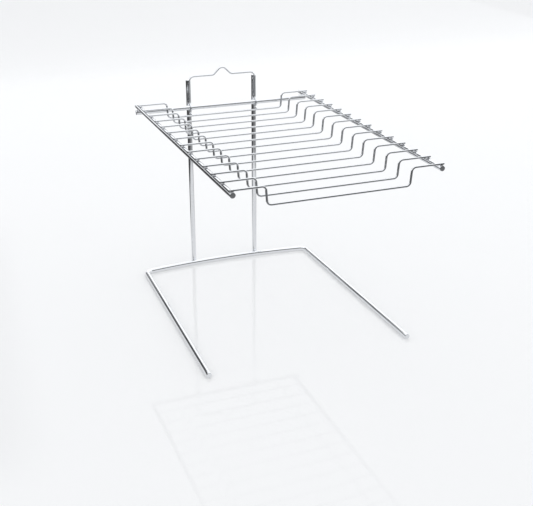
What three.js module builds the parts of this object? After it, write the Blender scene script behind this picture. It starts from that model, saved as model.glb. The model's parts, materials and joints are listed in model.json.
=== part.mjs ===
// Fold-down wire drying rack: a tray of cross wires hinged on a stand with a floor U and a hanging loop.
// Millimetres, +Z up, front towards -Y. The stand is worked out with its uprights on Y = 0, and the
// whole group is then moved so that the origin is under the middle of the rack.
import * as THREE from 'three';

// Stock
const rodRadius = 4;
const wireRadius = 1.5;
const rodSides = 12;
const wireSides = 8;

// Clearances
const weldGap = 0.3;
const hingeClearance = 0.4;
const stopGap = 0.3;

// Tray
const trayHalfWidth = 151.5;
const wireCount = 14;
const wirePitch = 35;
const firstWireSetback = 12.5;
const wireEndBeyondRail = 3.5;
const railBeyondLastWire = 3;
const ledgeLength = 48;
const dropLean = 2;
const wireBendRadius = 6;
const pivotRodBeyondRail = 1.2;

// Stand
const railHeight = 299.5;
const uprightHalfSpacing = 59;
const uprightAboveRail = 37.5;
const loopAboveUpright = 6.2;
const loopCornerRadius = 9;
const humpHalfWidth = 15.5;
const humpTopRadius = 9.2;
const humpFootRadius = 8;
const baseBackHalfWidth = 153;
const baseFrontHalfWidth = 160;
const baseArmLength = 381.5;
const baseBow = 11;
const baseCornerRadius = 12;

// Detail of the bends
const bendStep = THREE.MathUtils.degToRad(18);
const eyeStep = THREE.MathUtils.degToRad(13);
const bowChords = 12;

// Hinge: the pivot rod lies under the rails and in front of the uprights
const pivotY = -(2 * rodRadius + hingeClearance);
const pivotZ = railHeight - 2 * rodRadius - weldGap;
const eyeRadius = rodRadius + hingeClearance + wireRadius;
const legY = -(rodRadius + weldGap + wireRadius);
const legBend = legY - pivotY;
const hookDrop = eyeRadius + 2 * legBend;

// Tray heights and places that follow from the hinge and its stop
const railX = trayHalfWidth - wireEndBeyondRail;
const ledgeZ = railHeight + rodRadius + weldGap + wireRadius;
const troughZ = pivotZ - hookDrop;
const firstWireY = pivotY - firstWireSetback;
const lastWireY = firstWireY - (wireCount - 1) * wirePitch;
const railBackY = rodRadius;
const railFrontY = lastWireY - railBeyondLastWire;
const uprightTop = railHeight + uprightAboveRail;
const loopTop = uprightTop + loopAboveUpright;

const rodChrome = { color: 0xc9cccf, roughness: 0.12, metalness: 1 };
const wireChrome = { color: 0xb4b8bb, roughness: 0.18, metalness: 1 };

// A run of stations, each with the tangent that halves the turn there, so that no bend is cut short.
class StationPath extends THREE.Curve {
  constructor(stations) {
    super();
    this.stations = stations;
  }

  index(u) {
    return Math.round(u * (this.stations.length - 1));
  }

  getPointAt(u) {
    return this.stations[this.index(u)].clone();
  }

  getTangentAt(u) {
    const at = this.index(u);
    const here = this.stations[at];
    const before = this.stations[Math.max(at - 1, 0)];
    const after = this.stations[Math.min(at + 1, this.stations.length - 1)];
    const incoming = here.clone().sub(before).normalize();
    const outgoing = after.clone().sub(here).normalize();
    return incoming.add(outgoing).normalize();
  }
}

// One corner of a bent path: where the straight stretches would meet, the radius, and the arc's step.
function corner(x, y, z, radius = 0, step = bendStep) {
  return { at: new THREE.Vector3(x, y, z), radius, step };
}

// Stations of the arc that rounds a corner, from the end of one straight to the start of the next.
function roundedCorner(before, { at, radius, step }, after) {
  if (radius === 0) {
    return [at];
  }
  const back = before.clone().sub(at).normalize();
  const ahead = after.clone().sub(at).normalize();
  const turn = Math.PI - back.angleTo(ahead);
  const tangentLength = radius * Math.tan(turn / 2);
  const towardsCentre = back.clone().add(ahead).normalize();
  const centre = at.clone().addScaledVector(towardsCentre, radius / Math.cos(turn / 2));
  const start = at.clone().addScaledVector(back, tangentLength).sub(centre);
  const axis = back.clone().negate().cross(ahead).normalize();
  const steps = Math.ceil(turn / step);
  return Array.from({ length: steps + 1 }, (_, i) =>
    start.clone().applyAxisAngle(axis, (turn * i) / steps).add(centre));
}

function bentPath(corners) {
  const stations = corners.flatMap((here, i) => {
    const isEnd = i === 0 || i === corners.length - 1;
    return isEnd ? [here.at] : roundedCorner(corners[i - 1].at, here, corners[i + 1].at);
  });
  const apart = stations.filter((p, i) => i === 0 || p.distanceTo(stations[i - 1]) > 1e-3);
  return new StationPath(apart);
}

// A regular section whose flats stand at the stock's radius, so that rods rest flat on each other.
function stockSection(radius, sides) {
  const cornerRadius = radius / Math.cos(Math.PI / sides);
  const points = Array.from({ length: sides }, (_, i) => {
    const angle = ((i + 0.5) * 2 * Math.PI) / sides;
    return new THREE.Vector2(cornerRadius * Math.cos(angle), cornerRadius * Math.sin(angle));
  });
  return new THREE.Shape(points);
}

function bentStock(name, corners, radius, sides, finish) {
  const extrudePath = bentPath(corners);
  const steps = extrudePath.stations.length - 1;
  const geometry = new THREE.ExtrudeGeometry(stockSection(radius, sides), { steps, extrudePath });
  const mesh = new THREE.Mesh(geometry, new THREE.MeshStandardMaterial(finish));
  mesh.name = name;
  return mesh;
}

function rod(name, corners) {
  return bentStock(name, corners, rodRadius, rodSides, rodChrome);
}

function wire(name, corners) {
  return bentStock(name, corners, wireRadius, wireSides, wireChrome);
}

// The floor U: two splayed arms and a back bar that bows away from the front and touches the uprights.
function baseFrame() {
  const sag = (x) => baseBow * (x / baseBackHalfWidth) ** 2;
  const apexY = -(2 * rodRadius + weldGap) + sag(uprightHalfSpacing);
  const backCornerY = apexY - baseBow;
  const tipY = backCornerY - baseArmLength;
  const bar = Array.from({ length: bowChords + 1 }, (_, i) => {
    const x = baseBackHalfWidth * ((2 * i) / bowChords - 1);
    const isCorner = i === 0 || i === bowChords;
    return corner(x, apexY - sag(x), rodRadius, isCorner ? baseCornerRadius : 0);
  });
  return rod('base_frame', [
    corner(-baseFrontHalfWidth, tipY, rodRadius),
    ...bar,
    corner(baseFrontHalfWidth, tipY, rodRadius),
  ]);
}

function upright(name, side) {
  const x = side * uprightHalfSpacing;
  return rod(name, [corner(x, 0, 0), corner(x, 0, uprightTop)]);
}

// One leg of the hanging loop, from the hook's tip up: the hook that stops the first cross wire,
// the eye round the pivot rod, and the straight that lies on the upright.
function loopLeg(side) {
  const x = side * uprightHalfSpacing;
  const hookTipY = firstWireY + wireRadius + stopGap;
  const hookZ = pivotZ - hookDrop;
  const eyeFront = pivotY - eyeRadius;
  const eyeBottom = pivotZ - eyeRadius;
  const eyeTop = pivotZ + eyeRadius;
  return [
    corner(x, hookTipY, hookZ),
    corner(x, legY, hookZ, legBend, eyeStep),
    corner(x, legY, eyeBottom, legBend, eyeStep),
    corner(x, eyeFront, eyeBottom, eyeRadius, eyeStep),
    corner(x, eyeFront, eyeTop, eyeRadius, eyeStep),
    corner(x, legY, eyeTop, legBend, eyeStep),
    corner(x, legY, loopTop, loopCornerRadius),
  ];
}

// The hanging loop: one wire from hook to hook, with a hump in its top bar that hangs on a wall hook.
function hangerLoop() {
  return wire('hanger_loop', [
    ...loopLeg(-1),
    corner(-humpHalfWidth, legY, loopTop, humpFootRadius),
    corner(0, legY, loopTop + humpHalfWidth, humpTopRadius),
    corner(humpHalfWidth, legY, loopTop, humpFootRadius),
    ...loopLeg(1).reverse(),
  ]);
}

function sideRail(name, side) {
  const x = side * railX;
  return rod(name, [corner(x, railBackY, railHeight), corner(x, railFrontY, railHeight)]);
}

function pivotRod() {
  const endX = railX + rodRadius + pivotRodBeyondRail;
  return rod('pivot_rod', [corner(-endX, pivotY, pivotZ), corner(endX, pivotY, pivotZ)]);
}

// A cross wire lies on both rails and dips between them to make the tray's trough.
function crossWire(index) {
  const y = firstWireY - index * wirePitch;
  const ledgeInnerX = trayHalfWidth - ledgeLength;
  const troughX = ledgeInnerX - dropLean;
  const half = (side) => [
    corner(side * trayHalfWidth, y, ledgeZ),
    corner(side * ledgeInnerX, y, ledgeZ, wireBendRadius),
    corner(side * troughX, y, troughZ, wireBendRadius),
  ];
  const number = String(index + 1).padStart(2, '0');
  return wire(`cross_wire_${number}`, [...half(-1), ...half(1).reverse()]);
}

const stand = new THREE.Group();
stand.add(baseFrame());
stand.add(upright('upright_left', -1));
stand.add(upright('upright_right', 1));
stand.add(hangerLoop());

const tray = new THREE.Group();
tray.add(pivotRod());
tray.add(sideRail('side_rail_left', -1));
tray.add(sideRail('side_rail_right', 1));
for (let index = 0; index < wireCount; index += 1) {
  tray.add(crossWire(index));
}

const rack = new THREE.Group();
rack.add(stand, tray);
rack.position.y = -(railFrontY + railBackY) / 2;

export default rack;
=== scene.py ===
"""Looks of the fold-down wire drying rack: bright chrome rod and wire in a white studio.

Everything is in metres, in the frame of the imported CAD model. Each CAD node is stood for by a smooth
piece of bent stock, whose place comes from the node's box and whose bends repeat the CAD's radii.
"""
import json
import math

import bpy
from mathutils import Matrix, Vector, noise


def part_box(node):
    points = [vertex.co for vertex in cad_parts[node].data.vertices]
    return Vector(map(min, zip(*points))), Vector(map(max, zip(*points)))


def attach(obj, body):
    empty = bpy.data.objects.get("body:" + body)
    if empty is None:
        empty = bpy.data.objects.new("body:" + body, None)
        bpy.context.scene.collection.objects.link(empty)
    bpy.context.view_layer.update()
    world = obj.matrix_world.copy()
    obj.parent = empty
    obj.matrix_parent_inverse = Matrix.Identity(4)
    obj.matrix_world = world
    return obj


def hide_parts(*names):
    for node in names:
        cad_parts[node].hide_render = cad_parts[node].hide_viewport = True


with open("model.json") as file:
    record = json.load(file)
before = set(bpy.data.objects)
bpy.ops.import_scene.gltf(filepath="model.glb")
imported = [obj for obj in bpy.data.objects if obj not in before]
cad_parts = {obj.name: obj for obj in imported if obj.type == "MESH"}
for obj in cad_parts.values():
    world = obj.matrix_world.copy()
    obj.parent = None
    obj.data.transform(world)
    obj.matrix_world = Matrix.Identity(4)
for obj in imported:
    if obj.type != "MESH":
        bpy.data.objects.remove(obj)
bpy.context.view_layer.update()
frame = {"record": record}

# ---------------------------------------------------------------- sizes that the boxes don't hold
LEDGE_LENGTH = 0.048
DROP_LEAN = 0.002
WIRE_BEND_RADIUS = 0.006
LOOP_CORNER_RADIUS = 0.009
HUMP_HALF_WIDTH = 0.0155
HUMP_TOP_RADIUS = 0.0092
HUMP_FOOT_RADIUS = 0.008
BASE_BACK_HALF_WIDTH = 0.153
BASE_BOW = 0.011
BASE_CORNER_RADIUS = 0.012
WELD_GAP = 0.0003
HINGE_CLEARANCE = 0.0004
STOP_GAP = 0.0003

X, Y, Z = Vector((1, 0, 0)), Vector((0, 1, 0)), Vector((0, 0, 1))

# ---------------------------------------------------------------- detail of the bars
ROD_END_ROUND = 0.0008
WIRE_END_ROUND = 0.0005
END_ROUND_RINGS = 5
END_FACE_SHARE = 0.45
CLEAR_OF_ROUNDING = 1.5
ROD_SIDES = 40
WIRE_SIDES = 24
BEND_STEP = math.radians(7.5)
BOW_CHORDS = 36
BOW_CHORDS_IN_CORNER = 4
STATION_LENGTH = 0.012
SHORTEST_STRETCH = 1e-6

# ---------------------------------------------------------------- detail of the welds
WELD_SIDES = 36
WELD_LAYERS = 8
WELD_THROAT = 0.00095
WELD_TOE = 0.0018
WELD_UNEVENNESS = 0.16
WELD_SEED_STRIDE = 3.7
WELD_SINK = 0.00012
WELD_CORE = 0.0008
WELD_HALVINGS = 24
WELD_SEED_LEFT, WELD_SEED_RIGHT = 2.0, 5.0
RAIL_WELD_SEED = 1.3
TACK_HALF_LENGTH = 0.005
TACK_SHARES = (0.15, 0.8)
HEAT_REACH = 0.007
HEAT_TINT = 0.7

# ---------------------------------------------------------------- chrome
ROD_COLOR = (0.80, 0.81, 0.83)
ROD_ROUGHNESS = 0.05
WIRE_COLOR = (0.74, 0.75, 0.77)
WIRE_ROUGHNESS = 0.07
HEATED_SHARE = (0.80, 0.72, 0.60)
DRAWN_LINE_SCALE = 2600.0
DRAWN_LINE_STRETCH = 0.02
DRAWN_LINE_DETAIL = 3.0
DRAWN_LINE_HEIGHT = 0.000004
DRAWN_LINE_STRENGTH = 0.35
HAZE_SCALE = 90.0
HAZE_DETAIL = 4.0
HAZE_LOW, HAZE_HIGH = 0.35, 0.75
HAZE_ROUGHENING = 2.2
WELD_ROUGHENING = 3.0
RIPPLE_HEIGHT = 8 * DRAWN_LINE_HEIGHT
RIPPLE_STRENGTH = 0.3

# ---------------------------------------------------------------- camera
CAMERA_PLACE = Vector((-0.4936, -1.2382, 0.6746))
CAMERA_HEADING = math.radians(21.356)
CAMERA_DIP = math.radians(23.17)
CAMERA_LENS = 61.67

# ---------------------------------------------------------------- white sweep, sky and softboxes
SWEEP_HALF_WIDTH = 5.0
SWEEP_FRONT = -3.5
SWEEP_BACK = 3.2
SWEEP_BEND_RADIUS = 1.4
SWEEP_BEND_STEPS = 24
SWEEP_TOP = 5.0
SWEEP_COLOR = (0.935, 0.94, 0.945, 1.0)
SWEEP_ROUGHNESS = 0.03
SWEEP_IOR = 1.33
SWEEP_GRAIN_SCALE = 6.0
SWEEP_GRAIN_STRENGTH = 0.02
SWEEP_GRAIN_HEIGHT = 0.001
SKY_COLOR = (0.985, 0.99, 1.0, 1.0)
SKY_STRENGTH = 0.97
OVERHEAD_SIZE, OVERHEAD_WATTS, OVERHEAD_PLACE = 1.2, 0.8, (0.15, 0.1, 1.6)
BACK_SIZE, BACK_WATTS, BACK_PLACE = 2.0, 3.0, (1.1, 2.1, 2.2)

# ---------------------------------------------------------------- painted reflections: glowing and dark sheets that only mirroring surfaces see
GLOW_COLOR = (0.97, 0.985, 1.0, 1.0)
BRIGHT = 1.35
TABLE_GLOW = 0.86
BACK_GLOW = 0.45
DIM = 0.40
FLAG_FOOT = 0.20
DARK = 0.06
SURROUND_RADIUS = 3.0
SURROUND_COLUMNS, SURROUND_ROWS = 120, 60
SURROUND_LOWEST, SURROUND_SPAN = -2, 92
TABLE_CELLS = 240
TABLE_DROP = 0.0005
TABLE_HALF_WIDTH = 0.52
TABLE_FRONT = 0.37
TABLE_BACK = 0.36
TABLE_EDGE = (1.10, 0.90)
BACK_GLOW_FROM, BACK_GLOW_FULL = -0.1, 0.2
# Painted dark reflection: a dark patch in the glowing table sheet, behind on the left.
DARK_PATCH = Vector((-0.30, 0.85))
DARK_PATCH_HALF = Vector((0.17, 0.50))
DARK_PATCH_EDGE = (1.15, 0.85)
# Ranges of azimuth and elevation in degrees: each pair runs from no share to full share.
LOW_SIDE_AZIMUTHS = ((270, 300), (357, 345))
LOW_SIDE_ELEVATION = (12, 6)
# Painted dark reflection: a shaded patch in the glowing tent, behind on the left.
SHADE_AZIMUTHS = ((320, 332), (358, 350))
SHADE_ELEVATIONS = ((15, 22), (42, 36))
# Painted dark reflections: black flag sheets, seen only by mirroring surfaces, with a painted glow at the
# front one's foot.
FLAG_ROWS = 12
FLAG_FEATHER = 0.05
FLAG_FOOT_EDGE = (0.29, 0.23)
FLAG_LEFT = -0.50
FLAG_RIGHT = 0.58
FLAG_FRONT = -0.42
FLAG_TURN = 1.0
FLAG_FAR_END = 1.6
FAR_FLAG_BOTTOM, FAR_FLAG_TOP = 0.05, 0.33
LEFT_FLAG_TOP = 0.42
FRONT_FLAG_TOP = 0.64


def box_middle(node):
    low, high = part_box(node)
    return (low + high) / 2


ROD_RADIUS = (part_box("upright_left")[1].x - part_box("upright_left")[0].x) / 2
WIRE_RADIUS = (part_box("cross_wire_01")[1].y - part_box("cross_wire_01")[0].y) / 2
PIVOT = box_middle("pivot_rod")
BODY_OF = {node: body
           for body, nodes in frame["record"]["behaviour"]["bodies"].items() for node in nodes}
CROSS_WIRES = sorted(node for node in BODY_OF if node.startswith("cross_wire"))


# ---------------------------------------------------------------- bent stock
def rounded_corner(before, at, after, radius):
    """Points of the arc that rounds a corner, from one straight's end to the next one's start."""
    back = (before - at).normalized()
    ahead = (after - at).normalized()
    turn = math.pi - back.angle(ahead)
    centre = at + (back + ahead).normalized() * (radius / math.cos(turn / 2))
    start = at + back * (radius * math.tan(turn / 2)) - centre
    axis = (-back).cross(ahead).normalized()
    steps = max(2, math.ceil(turn / BEND_STEP))
    return [centre + Matrix.Rotation(turn * i / steps, 3, axis) @ start for i in range(steps + 1)]


def bent_path(corners):
    """Centreline through (point, bend radius) corners, with stations on the long straights too."""
    points = [corners[0][0]]
    for (before, _), (at, radius), (after, _) in zip(corners, corners[1:], corners[2:]):
        points += rounded_corner(before, at, after, radius) if radius else [at]
    points.append(corners[-1][0])
    stations = [points[0]]
    for point in points[1:]:
        stretch = (point - stations[-1]).length
        if stretch < SHORTEST_STRETCH:
            continue
        cuts = max(1, round(stretch / STATION_LENGTH))
        last = stations[-1]
        stations += [last.lerp(point, (i + 1) / cuts) for i in range(cuts)]
    return stations


def tangents(stations):
    directions = [(b - a).normalized() for a, b in zip(stations, stations[1:])]
    middles = [(a + b).normalized() for a, b in zip(directions, directions[1:])]
    return [directions[0], *middles, directions[-1]]


def end_rounding(radius, rounding):
    """(distance in from the end, section radius) of the rings that round a cut end."""
    rings = [(0.0, radius * END_FACE_SHARE)]
    for i in range(END_ROUND_RINGS + 1):
        angle = math.pi / 2 * i / END_ROUND_RINGS
        rings.append((rounding * (1 - math.sin(angle)), radius - rounding * (1 - math.cos(angle))))
    return rings[:1] + sorted(rings[1:], key=lambda ring: ring[1])


def sweep(stations, radius, sides, rounding):
    """Vertices, faces and straightened-stock coordinates of a round bar along the stations."""
    along = [0.0]
    for a, b in zip(stations, stations[1:]):
        along.append(along[-1] + (b - a).length)
    total = along[-1]
    directions = tangents(stations)
    caps = end_rounding(radius, rounding)
    clear = rounding * CLEAR_OF_ROUNDING
    between = [(s, radius) for s in along if clear < s < total - clear]
    rings = caps + between + [(total - d, r) for d, r in reversed(caps)]
    across = directions[0].orthogonal().normalized()
    facing = directions[0]
    verts, stock, index = [], [], 0
    verts.append(stations[0].copy())
    stock.append((0.0, 0.0, 0.0))
    for s, r in rings:
        while index < len(along) - 2 and along[index + 1] < s:
            index += 1
        share = (s - along[index]) / (along[index + 1] - along[index])
        centre = stations[index].lerp(stations[index + 1], share)
        direction = directions[index].lerp(directions[index + 1], share).normalized()
        across = facing.rotation_difference(direction) @ across
        facing = direction
        up = direction.cross(across)
        for k in range(sides):
            angle = 2 * math.pi * k / sides
            c, w = math.cos(angle), math.sin(angle)
            verts.append(centre + (across * c + up * w) * r)
            stock.append((r * c, r * w, s))
    verts.append(stations[-1].copy())
    stock.append((0.0, 0.0, total))
    faces = [(0, 1 + (k + 1) % sides, 1 + k) for k in range(sides)]
    for ring in range(len(rings) - 1):
        first, second = 1 + ring * sides, 1 + (ring + 1) * sides
        for k in range(sides):
            n = (k + 1) % sides
            faces.append((first + k, first + n, second + n, second + k))
    last, tip = 1 + (len(rings) - 1) * sides, len(verts) - 1
    faces += [(tip, last + k, last + (k + 1) % sides) for k in range(sides)]
    return verts, faces, stock


# ---------------------------------------------------------------- weld fillets
def crossing_gap(low_radius, high_radius, height):
    """Surfaces of two bars that cross at a right angle: the lower along Y, the upper along X."""
    def surfaces(x, y):
        low = math.sqrt(max(low_radius ** 2 - x * x, 0.0))
        high = height - math.sqrt(max(high_radius ** 2 - y * y, 0.0))
        return low, high, 0.0
    return surfaces


def side_by_side_gap(low_radius, high_radius, height, half_length):
    """Surfaces of two bars side by side along Y, for a tack that reaches that far each way."""
    def surfaces(x, y):
        low = math.sqrt(max(low_radius ** 2 - x * x, 0.0))
        high = height - math.sqrt(max(high_radius ** 2 - x * x, 0.0))
        return low, high, WELD_TOE * (y / half_length) ** 2
    return surfaces


def contour_distance(surfaces, angle, gap, reach):
    """How far from the weld's middle, in that direction, the two surfaces are that far apart."""
    c, s = math.cos(angle), math.sin(angle)
    near, far = 0.0, reach
    for _ in range(WELD_HALVINGS):
        middle = (near + far) / 2
        low, high, extra = surfaces(middle * c, middle * s)
        near, far = (middle, far) if high - low + extra < gap else (near, middle)
    return near


def weld_fillet(surfaces, reach, seed):
    """A closed bead with a hollow throat, between two bars whose gap the surfaces give."""
    verts, faces = [], []
    for layer in range(WELD_LAYERS + 1):
        t = layer / WELD_LAYERS
        gap = WELD_TOE - (WELD_TOE - WELD_THROAT) * math.sin(math.pi * t)
        for k in range(WELD_SIDES):
            angle = 2 * math.pi * k / WELD_SIDES
            lump = noise.noise(Vector((math.cos(angle), math.sin(angle), seed * WELD_SEED_STRIDE + t)))
            d = contour_distance(surfaces, angle, gap * (1 + WELD_UNEVENNESS * lump), reach)
            x, y = d * math.cos(angle), d * math.sin(angle)
            low, high, _ = surfaces(x, y)
            sunk = WELD_SINK * math.cos(math.pi * t)
            verts.append(Vector((x, y, low + (high - low) * t - sunk)))
    for layer in range(WELD_LAYERS):
        for k in range(WELD_SIDES):
            n = (k + 1) % WELD_SIDES
            a, b = layer * WELD_SIDES, (layer + 1) * WELD_SIDES
            faces.append((a + k, a + n, b + n, b + k))
    low, high, _ = surfaces(0.0, 0.0)
    verts += [Vector((0, 0, low - WELD_CORE)), Vector((0, 0, high + WELD_CORE))]
    bottom, top = len(verts) - 2, len(verts) - 1
    last = WELD_LAYERS * WELD_SIDES
    for k in range(WELD_SIDES):
        n = (k + 1) % WELD_SIDES
        faces += [(bottom, n, k), (top, last + k, last + n)]
    return verts, faces


def placed_weld(surfaces, reach, seed, middle, along, towards):
    """A fillet moved so that its lower bar runs along one direction and the upper lies towards another."""
    side = along.cross(towards).normalized()
    turn = Matrix((side, along, towards)).transposed()
    verts, faces = weld_fillet(surfaces, reach, seed)
    return [middle + turn @ v for v in verts], faces


def crossing_weld(middle, low_radius, high_radius, along, towards, seed):
    surfaces = crossing_gap(low_radius, high_radius, low_radius + WELD_GAP + high_radius)
    return placed_weld(surfaces, max(low_radius, high_radius), seed, middle, along, towards)


def tack_weld(middle, low_radius, high_radius, along, towards, half_length, seed):
    height = low_radius + WELD_GAP + high_radius
    surfaces = side_by_side_gap(low_radius, high_radius, height, half_length)
    return placed_weld(surfaces, half_length, seed, middle, along, towards)


# ---------------------------------------------------------------- pieces
def build_piece(node, corners, radius, sides, rounding, welds, material):
    """The finished piece that stands for a CAD node: one bent bar and the weld beads on it."""
    verts, faces, stock = sweep(bent_path(corners), radius, sides, rounding)
    weld_share = [0.0] * len(verts)
    middles = [sum(bead_verts, Vector()) / len(bead_verts) for bead_verts, _ in welds]
    heat = [weld_heat(v, middles) for v in verts]
    for bead_verts, bead_faces in welds:
        first = len(verts)
        verts = verts + bead_verts
        faces = faces + [tuple(first + i for i in face) for face in bead_faces]
        stock = stock + [tuple(v) for v in bead_verts]
        weld_share += [1.0] * len(bead_verts)
        heat += [HEAT_TINT] * len(bead_verts)
    mesh = bpy.data.meshes.new(node + "_finished")
    mesh.from_pydata([tuple(v) for v in verts], [], faces)
    mesh.update()
    mesh.shade_smooth()
    stocks = mesh.attributes.new("stock", "FLOAT_VECTOR", "POINT")
    stocks.data.foreach_set("vector", [c for point in stock for c in point])
    shares = mesh.attributes.new("weld", "FLOAT", "POINT")
    shares.data.foreach_set("value", weld_share)
    heats = mesh.attributes.new("heat", "FLOAT", "POINT")
    heats.data.foreach_set("value", heat)
    piece = bpy.data.objects.new(node + "_finished", mesh)
    bpy.context.scene.collection.objects.link(piece)
    piece.data.materials.append(material)
    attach(piece, BODY_OF[node])
    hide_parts(node)
    return piece


def weld_heat(point, middles):
    """How straw-coloured the welding has left the plate: most at a bead, none past the heat's reach."""
    nearest = min([HEAT_REACH] + [(point - middle).length for middle in middles])
    return HEAT_TINT * (1 - nearest / HEAT_REACH)


def build_rod(node, corners, welds, material):
    return build_piece(node, corners, ROD_RADIUS, ROD_SIDES, ROD_END_ROUND, welds, material)


def build_wire(node, corners, welds, material):
    return build_piece(node, corners, WIRE_RADIUS, WIRE_SIDES, WIRE_END_ROUND, welds, material)


def build_side_rail(node, side, material):
    """A straight rail, welded on top of the pivot rod."""
    low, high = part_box(node)
    middle = box_middle(node)
    ends = [(Vector((middle.x, high.y, middle.z)), 0), (Vector((middle.x, low.y, middle.z)), 0)]
    crossing = Vector((middle.x, PIVOT.y, PIVOT.z))
    welds = [crossing_weld(crossing, ROD_RADIUS, ROD_RADIUS, X, Z, side * RAIL_WELD_SEED)]
    return build_rod(node, ends, welds, material)


def build_pivot_rod(node, material):
    low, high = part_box(node)
    ends = [(Vector((low.x, PIVOT.y, PIVOT.z)), 0), (Vector((high.x, PIVOT.y, PIVOT.z)), 0)]
    return build_rod(node, ends, [], material)


def build_cross_wire(node, material):
    """A wire that lies on both rails and dips between them."""
    low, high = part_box(node)
    y = box_middle(node).y
    ledge = high.z - WIRE_RADIUS
    trough = low.z + WIRE_RADIUS
    inner = high.x - LEDGE_LENGTH
    left = [(Vector((low.x, y, ledge)), 0),
            (Vector((-inner, y, ledge)), WIRE_BEND_RADIUS),
            (Vector((DROP_LEAN - inner, y, trough)), WIRE_BEND_RADIUS)]
    right = [(Vector((-point.x, y, point.z)), radius) for point, radius in reversed(left)]
    seed = CROSS_WIRES.index(node)
    welds = []
    for offset, rail in enumerate(("side_rail_left", "side_rail_right")):
        middle = box_middle(rail)
        crossing = Vector((middle.x, y, middle.z))
        welds.append(crossing_weld(crossing, ROD_RADIUS, WIRE_RADIUS, Y, Z, seed + offset / 2))
    return build_wire(node, left + right, welds, material)


def build_upright(node, seed, material):
    """A straight upright, welded to the back of the floor U's bar."""
    low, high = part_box(node)
    middle = box_middle(node)
    ends = [(Vector((middle.x, middle.y, low.z)), 0), (Vector((middle.x, middle.y, high.z)), 0)]
    crossing = Vector((middle.x, middle.y - 2 * ROD_RADIUS - WELD_GAP, ROD_RADIUS))
    welds = [crossing_weld(crossing, ROD_RADIUS, ROD_RADIUS, X, Y, seed)]
    return build_rod(node, ends, welds, material)


def build_base_frame(node, material):
    """The floor U, whose back bar bows away from the front and touches the uprights."""
    low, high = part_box(node)
    upright = box_middle("upright_right")

    def sag(x):
        return BASE_BOW * (x / BASE_BACK_HALF_WIDTH) ** 2

    apex = upright.y - 2 * ROD_RADIUS - WELD_GAP + sag(upright.x)
    bar = []
    for i in range(BOW_CHORDS + 1):
        x = BASE_BACK_HALF_WIDTH * (2 * i / BOW_CHORDS - 1)
        bar.append((Vector((x, apex - sag(x), ROD_RADIUS)), 0))
    front = high.x - ROD_RADIUS
    corner_left, corner_right = bar[0][0], bar[-1][0]
    bar = bar[BOW_CHORDS_IN_CORNER:-BOW_CHORDS_IN_CORNER]
    corners = [(Vector((-front, low.y, ROD_RADIUS)), 0),
               (corner_left, BASE_CORNER_RADIUS), *bar, (corner_right, BASE_CORNER_RADIUS),
               (Vector((front, low.y, ROD_RADIUS)), 0)]
    return build_rod(node, corners, [], material)


def build_hanger_loop(node, material):
    """The hanging loop with its hump, and at each leg's foot the eye round the pivot rod and the hook."""
    upright = box_middle("upright_right")
    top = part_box(node)[1].z - WIRE_RADIUS - hump_height()
    leg_y = upright.y - ROD_RADIUS - WELD_GAP - WIRE_RADIUS
    bend = leg_y - PIVOT.y
    eye = ROD_RADIUS + HINGE_CLEARANCE + WIRE_RADIUS
    hook_z = PIVOT.z - eye - 2 * bend
    hook_tip = box_middle("cross_wire_01").y + WIRE_RADIUS + STOP_GAP

    def leg(x):
        return [(Vector((x, hook_tip, hook_z)), 0),
                (Vector((x, leg_y, hook_z)), bend),
                (Vector((x, leg_y, PIVOT.z - eye)), bend),
                (Vector((x, PIVOT.y - eye, PIVOT.z - eye)), eye),
                (Vector((x, PIVOT.y - eye, PIVOT.z + eye)), eye),
                (Vector((x, leg_y, PIVOT.z + eye)), bend),
                (Vector((x, leg_y, top)), LOOP_CORNER_RADIUS)]

    hump = [(Vector((-HUMP_HALF_WIDTH, leg_y, top)), HUMP_FOOT_RADIUS),
            (Vector((0, leg_y, top + HUMP_HALF_WIDTH)), HUMP_TOP_RADIUS),
            (Vector((HUMP_HALF_WIDTH, leg_y, top)), HUMP_FOOT_RADIUS)]
    contact_foot = PIVOT.z + eye + bend
    upright_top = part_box("upright_right")[1].z
    welds = []
    for side in (-1, 1):
        x = side * upright.x
        for share in TACK_SHARES:
            middle = Vector((x, upright.y, contact_foot + share * (upright_top - contact_foot)))
            welds.append(tack_weld(middle, ROD_RADIUS, WIRE_RADIUS, Z, -Y, TACK_HALF_LENGTH, side + share))
    corners = leg(-upright.x) + hump + leg(upright.x)[::-1]
    return build_wire(node, corners, welds, material)


def hump_height():
    """Height of the hump's rounded top above the loop's bar: its flanks stand at 45 degrees."""
    return HUMP_HALF_WIDTH - HUMP_TOP_RADIUS * (math.sqrt(2) - 1)


# ---------------------------------------------------------------- materials
def add_node(tree, kind, **values):
    made = tree.nodes.new(kind)
    for name, value in values.items():
        setattr(made, name, value)
    return made


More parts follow.
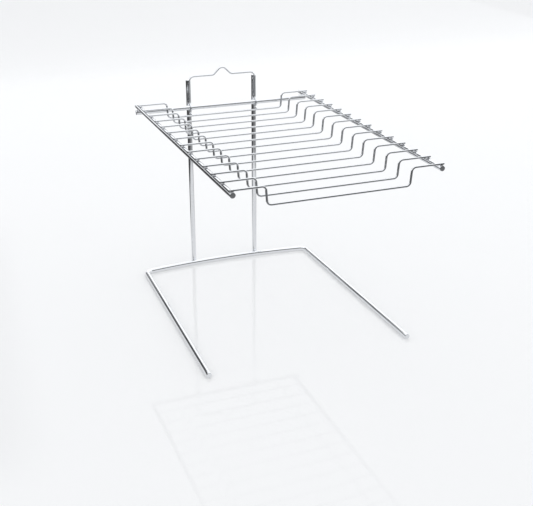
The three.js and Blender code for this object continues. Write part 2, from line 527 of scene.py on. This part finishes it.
def chrome_material(name, color, roughness):
    """Bright chrome plate over drawn steel: fine drawing lines, a faint haze, and straw-coloured welds."""
    material = bpy.data.materials.new(name)
    material.use_nodes = True
    tree = material.node_tree
    link = tree.links.new
    shader = tree.nodes["Principled BSDF"]
    shader.inputs["Metallic"].default_value = 1.0

    stock = add_node(tree, "ShaderNodeAttribute", attribute_name="stock")
    drawn = add_node(tree, "ShaderNodeMapping")
    drawn.inputs["Scale"].default_value = (1.0, 1.0, DRAWN_LINE_STRETCH)
    link(stock.outputs["Vector"], drawn.inputs["Vector"])
    lines = add_node(tree, "ShaderNodeTexNoise")
    lines.inputs["Scale"].default_value = DRAWN_LINE_SCALE
    lines.inputs["Detail"].default_value = DRAWN_LINE_DETAIL
    link(drawn.outputs["Vector"], lines.inputs["Vector"])

    haze = add_node(tree, "ShaderNodeTexNoise")
    haze.inputs["Scale"].default_value = HAZE_SCALE
    haze.inputs["Detail"].default_value = HAZE_DETAIL
    link(stock.outputs["Vector"], haze.inputs["Vector"])
    rough = add_node(tree, "ShaderNodeMapRange")
    rough.inputs["From Min"].default_value = HAZE_LOW
    rough.inputs["From Max"].default_value = HAZE_HIGH
    rough.inputs["To Min"].default_value = roughness
    rough.inputs["To Max"].default_value = roughness * HAZE_ROUGHENING
    link(haze.outputs["Fac"], rough.inputs["Value"])

    weld = add_node(tree, "ShaderNodeAttribute", attribute_name="weld")
    rough_weld = add_node(tree, "ShaderNodeMix", data_type="FLOAT")
    rough_weld.inputs["B"].default_value = roughness * WELD_ROUGHENING
    link(weld.outputs["Fac"], rough_weld.inputs["Factor"])
    link(rough.outputs["Result"], rough_weld.inputs["A"])
    link(rough_weld.outputs["Result"], shader.inputs["Roughness"])

    heat = add_node(tree, "ShaderNodeAttribute", attribute_name="heat")
    tint = add_node(tree, "ShaderNodeMix", data_type="RGBA")
    heated = [plate * share for plate, share in zip(color, HEATED_SHARE)]
    tint.inputs["A"].default_value = (*color, 1.0)
    tint.inputs["B"].default_value = (*heated, 1.0)
    link(heat.outputs["Fac"], tint.inputs["Factor"])
    link(tint.outputs["Result"], shader.inputs["Base Color"])

    bump = add_node(tree, "ShaderNodeBump")
    bump.inputs["Strength"].default_value = DRAWN_LINE_STRENGTH
    bump.inputs["Distance"].default_value = DRAWN_LINE_HEIGHT
    link(lines.outputs["Fac"], bump.inputs["Height"])
    ripple = add_node(tree, "ShaderNodeBump")
    ripple.inputs["Strength"].default_value = RIPPLE_STRENGTH
    ripple.inputs["Distance"].default_value = RIPPLE_HEIGHT
    link(haze.outputs["Fac"], ripple.inputs["Height"])
    link(bump.outputs["Normal"], ripple.inputs["Normal"])
    link(ripple.outputs["Normal"], shader.inputs["Normal"])
    return material


# ---------------------------------------------------------------- studio
def build_camera():
    data = bpy.data.cameras.new("camera")
    data.lens = CAMERA_LENS
    camera = bpy.data.objects.new("camera", data)
    camera.location = CAMERA_PLACE
    camera.rotation_euler = (math.pi / 2 - CAMERA_DIP, 0, -CAMERA_HEADING)
    bpy.context.scene.collection.objects.link(camera)
    bpy.context.scene.camera = camera


def stage_mesh(name, verts, faces, material):
    mesh = bpy.data.meshes.new(name)
    mesh.from_pydata(verts, [], faces)
    mesh.shade_smooth()
    mesh.materials.append(material)
    made = bpy.data.objects.new(name, mesh)
    bpy.context.scene.collection.objects.link(made)
    return made


def sweep_material():
    """White acrylic: almost white, with a faint clear gloss."""
    material = bpy.data.materials.new("white_sweep")
    material.use_nodes = True
    tree = material.node_tree
    shader = tree.nodes["Principled BSDF"]
    shader.inputs["Base Color"].default_value = SWEEP_COLOR
    shader.inputs["Roughness"].default_value = SWEEP_ROUGHNESS
    shader.inputs["IOR"].default_value = SWEEP_IOR
    grain = add_node(tree, "ShaderNodeTexNoise")
    grain.inputs["Scale"].default_value = SWEEP_GRAIN_SCALE
    bump = add_node(tree, "ShaderNodeBump")
    bump.inputs["Strength"].default_value = SWEEP_GRAIN_STRENGTH
    bump.inputs["Distance"].default_value = SWEEP_GRAIN_HEIGHT
    tree.links.new(grain.outputs["Fac"], bump.inputs["Height"])
    tree.links.new(bump.outputs["Normal"], shader.inputs["Normal"])
    return material


def build_sweep():
    """The white sheet: a floor that curves up into a back wall."""
    outline = [(SWEEP_FRONT, 0.0)]
    for i in range(SWEEP_BEND_STEPS + 1):
        angle = math.pi / 2 * i / SWEEP_BEND_STEPS
        outline.append((SWEEP_BACK - SWEEP_BEND_RADIUS * (1 - math.sin(angle)),
                        SWEEP_BEND_RADIUS * (1 - math.cos(angle))))
    outline.append((SWEEP_BACK, SWEEP_TOP))
    verts = [(side * SWEEP_HALF_WIDTH, y, z) for y, z in outline for side in (-1, 1)]
    faces = [(2 * i, 2 * i + 1, 2 * i + 3, 2 * i + 2) for i in range(len(outline) - 1)]
    sweep_piece = stage_mesh("white_sweep", verts, faces, sweep_material())
    sweep_piece.visible_glossy = False


def glow_material(name, one_sided=False):
    """Emission for painted reflections, whose strength is the mesh's own "glow"; seen from one side only,
    if asked.
    """
    material = bpy.data.materials.new(name)
    material.use_nodes = True
    tree = material.node_tree
    tree.nodes.clear()
    glow = add_node(tree, "ShaderNodeAttribute", attribute_name="glow")
    light = add_node(tree, "ShaderNodeEmission")
    light.inputs["Color"].default_value = GLOW_COLOR
    out = add_node(tree, "ShaderNodeOutputMaterial")
    tree.links.new(glow.outputs["Fac"], light.inputs["Strength"])
    if not one_sided:
        tree.links.new(light.outputs["Emission"], out.inputs["Surface"])
        return material
    side = add_node(tree, "ShaderNodeNewGeometry")
    clear = add_node(tree, "ShaderNodeBsdfTransparent")
    pick = add_node(tree, "ShaderNodeMixShader")
    tree.links.new(side.outputs["Backfacing"], pick.inputs[0])
    tree.links.new(light.outputs["Emission"], pick.inputs[1])
    tree.links.new(clear.outputs["BSDF"], pick.inputs[2])
    tree.links.new(pick.outputs["Shader"], out.inputs["Surface"])
    return material


def step_between(value, start, end):
    """0 before start, 1 after end, eased between; start may be above end."""
    t = min(1.0, max(0.0, (value - start) / (end - start)))
    return t * t * (3 - 2 * t)


def mirrored_only(name, verts, faces, glows, material):
    """Painted reflection, part of the studio that only mirroring surfaces see: a glowing or dark sheet
    that the camera, diffuse light and shadows pass through.
    """
    thing = stage_mesh(name, verts, faces, material)
    glow = thing.data.attributes.new("glow", "FLOAT", "POINT")
    glow.data.foreach_set("value", glows)
    thing.visible_camera = False
    thing.visible_diffuse = False
    thing.visible_shadow = False
    thing.visible_transmission = False
    thing.visible_volume_scatter = False


def painted_table_reflection_glow(x, y):
    """Painted reflection of a lit table top: glow that is bright round the rack, dimmer beyond, with a
    painted dark patch behind on the left.
    """
    ahead = TABLE_FRONT if y < 0 else TABLE_BACK
    reach = math.hypot(x / TABLE_HALF_WIDTH, y / ahead)
    beyond = DIM + (BACK_GLOW - DIM) * step_between(y, BACK_GLOW_FROM, BACK_GLOW_FULL)
    patch = math.hypot((x - DARK_PATCH.x) / DARK_PATCH_HALF.x, (y - DARK_PATCH.y) / DARK_PATCH_HALF.y)
    beyond += (DARK - beyond) * step_between(patch, *DARK_PATCH_EDGE)
    return beyond + (TABLE_GLOW - beyond) * step_between(reach, *TABLE_EDGE)


def grid_faces(columns, rows):
    """Quads of a grid whose points come row by row, one more each way than its cells."""
    return [(a, a + 1, a + columns + 2, a + columns + 1)
            for j in range(rows) for a in range(j * (columns + 1), j * (columns + 1) + columns)]


# Painted reflection: a glowing sheet just under the floor, standing for a lit table top, that only
# mirroring surfaces see.
def build_painted_table_reflection(material):
    side = [SURROUND_RADIUS * (2 * i / TABLE_CELLS - 1) for i in range(TABLE_CELLS + 1)]
    verts = [(x, y, -TABLE_DROP) for y in side for x in side]
    glows = [painted_table_reflection_glow(x, y) for x, y, _ in verts]
    mirrored_only("painted_reflection_table_top", verts, grid_faces(TABLE_CELLS, TABLE_CELLS), glows, material)


def painted_surround_reflection_glow(azimuth, elevation):
    """Painted reflection of a bright tent, with a table-bright low left side and a painted dark patch
    behind on the left.
    """
    low_side = step_between(elevation, *LOW_SIDE_ELEVATION)
    for edge in LOW_SIDE_AZIMUTHS:
        low_side *= step_between(azimuth, *edge)
    shade = 1.0
    for edge in SHADE_AZIMUTHS:
        shade *= step_between(azimuth, *edge)
    for edge in SHADE_ELEVATIONS:
        shade *= step_between(elevation, *edge)
    glow = BRIGHT + (TABLE_GLOW - BRIGHT) * low_side
    return glow + (DARK - glow) * shade


def build_painted_surround_reflection(material):
    """Painted reflection of the tent above and round the table, a glowing dome that only mirroring
    surfaces see; azimuth runs clockwise from behind the rack.
    """
    verts, glows = [], []
    for j in range(SURROUND_ROWS + 1):
        elevation = SURROUND_LOWEST + SURROUND_SPAN * j / SURROUND_ROWS
        for i in range(SURROUND_COLUMNS + 1):
            azimuth = 360 * i / SURROUND_COLUMNS
            a, e = math.radians(azimuth), math.radians(elevation)
            verts.append((math.sin(a) * math.cos(e) * SURROUND_RADIUS,
                          math.cos(a) * math.cos(e) * SURROUND_RADIUS,
                          math.sin(e) * SURROUND_RADIUS))
            glows.append(painted_surround_reflection_glow(azimuth, elevation))
    mirrored_only("painted_reflection_surround", verts, grid_faces(SURROUND_COLUMNS, SURROUND_ROWS), glows, material)


def build_painted_flag_reflection(name, start, end, bottom, top, foot_glow, material):
    """A painted dark reflection: a black sheet between two floor points that only mirroring surfaces see,
    with a feathered bright top and a painted glow of its own at its foot.
    """
    verts, glows = [], []
    for j in range(FLAG_ROWS + 1):
        z = bottom + (top - bottom) * j / FLAG_ROWS
        verts += [(*start, z), (*end, z)]
        foot = (foot_glow - DARK) * step_between(z, *FLAG_FOOT_EDGE)
        glows += [DARK + foot + (BRIGHT - DARK) * step_between(z, top - FLAG_FEATHER, top)] * 2
    mirrored_only(name, verts, grid_faces(1, FLAG_ROWS), glows, material)


def build_softbox(name, size, energy, place):
    """A round softbox that shines straight down and doesn't show in the chrome."""
    softbox = bpy.data.lights.new(name, "AREA")
    softbox.shape = "DISK"
    softbox.size = size
    softbox.energy = energy
    lamp = bpy.data.objects.new(name, softbox)
    lamp.location = place
    lamp.visible_glossy = False
    bpy.context.scene.collection.objects.link(lamp)


def build_studio():
    build_sweep()
    # Painted reflections: a glowing table sheet, a glowing tent and dark flag sheets with glowing tops,
    # seen only by mirroring surfaces.
    glow = glow_material("painted_reflection_glow")
    build_painted_table_reflection(glow)
    build_painted_surround_reflection(glow)
    flag_reflection_material = glow_material("painted_flag_reflection_glow", one_sided=True)
    front_left, front_right = (FLAG_LEFT, FLAG_FRONT), (FLAG_RIGHT, FLAG_FRONT)
    turn, far_end = (FLAG_LEFT, FLAG_TURN), (FLAG_LEFT, FLAG_FAR_END)
    build_painted_flag_reflection("painted_dark_reflection_left", front_left, turn, 0.0, LEFT_FLAG_TOP, DARK, flag_reflection_material)
    build_painted_flag_reflection("painted_dark_reflection_left_far", turn, far_end, FAR_FLAG_BOTTOM, FAR_FLAG_TOP, DARK, flag_reflection_material)
    build_painted_flag_reflection("painted_dark_reflection_front", front_right, front_left, 0.0, FRONT_FLAG_TOP, FLAG_FOOT, flag_reflection_material)

    world = bpy.data.worlds.new("studio_world")
    bpy.context.scene.world = world
    world.use_nodes = True
    sky = world.node_tree.nodes["Background"]
    sky.inputs["Color"].default_value = SKY_COLOR
    sky.inputs["Strength"].default_value = SKY_STRENGTH
    build_softbox("overhead_softbox", OVERHEAD_SIZE, OVERHEAD_WATTS, OVERHEAD_PLACE)
    build_softbox("back_softbox", BACK_SIZE, BACK_WATTS, BACK_PLACE)
    bpy.context.scene.view_settings.view_transform = "Standard"


# ---------------------------------------------------------------- assembly
rod_chrome = chrome_material("rod_chrome_plate", ROD_COLOR, ROD_ROUGHNESS)
wire_chrome = chrome_material("wire_chrome_plate", WIRE_COLOR, WIRE_ROUGHNESS)

build_base_frame("base_frame", rod_chrome)
build_upright("upright_left", WELD_SEED_LEFT, rod_chrome)
build_upright("upright_right", WELD_SEED_RIGHT, rod_chrome)
build_hanger_loop("hanger_loop", wire_chrome)
build_pivot_rod("pivot_rod", rod_chrome)
build_side_rail("side_rail_left", -1, rod_chrome)
build_side_rail("side_rail_right", 1, rod_chrome)
for cross_wire in CROSS_WIRES:
    build_cross_wire(cross_wire, wire_chrome)

build_camera()
build_studio()
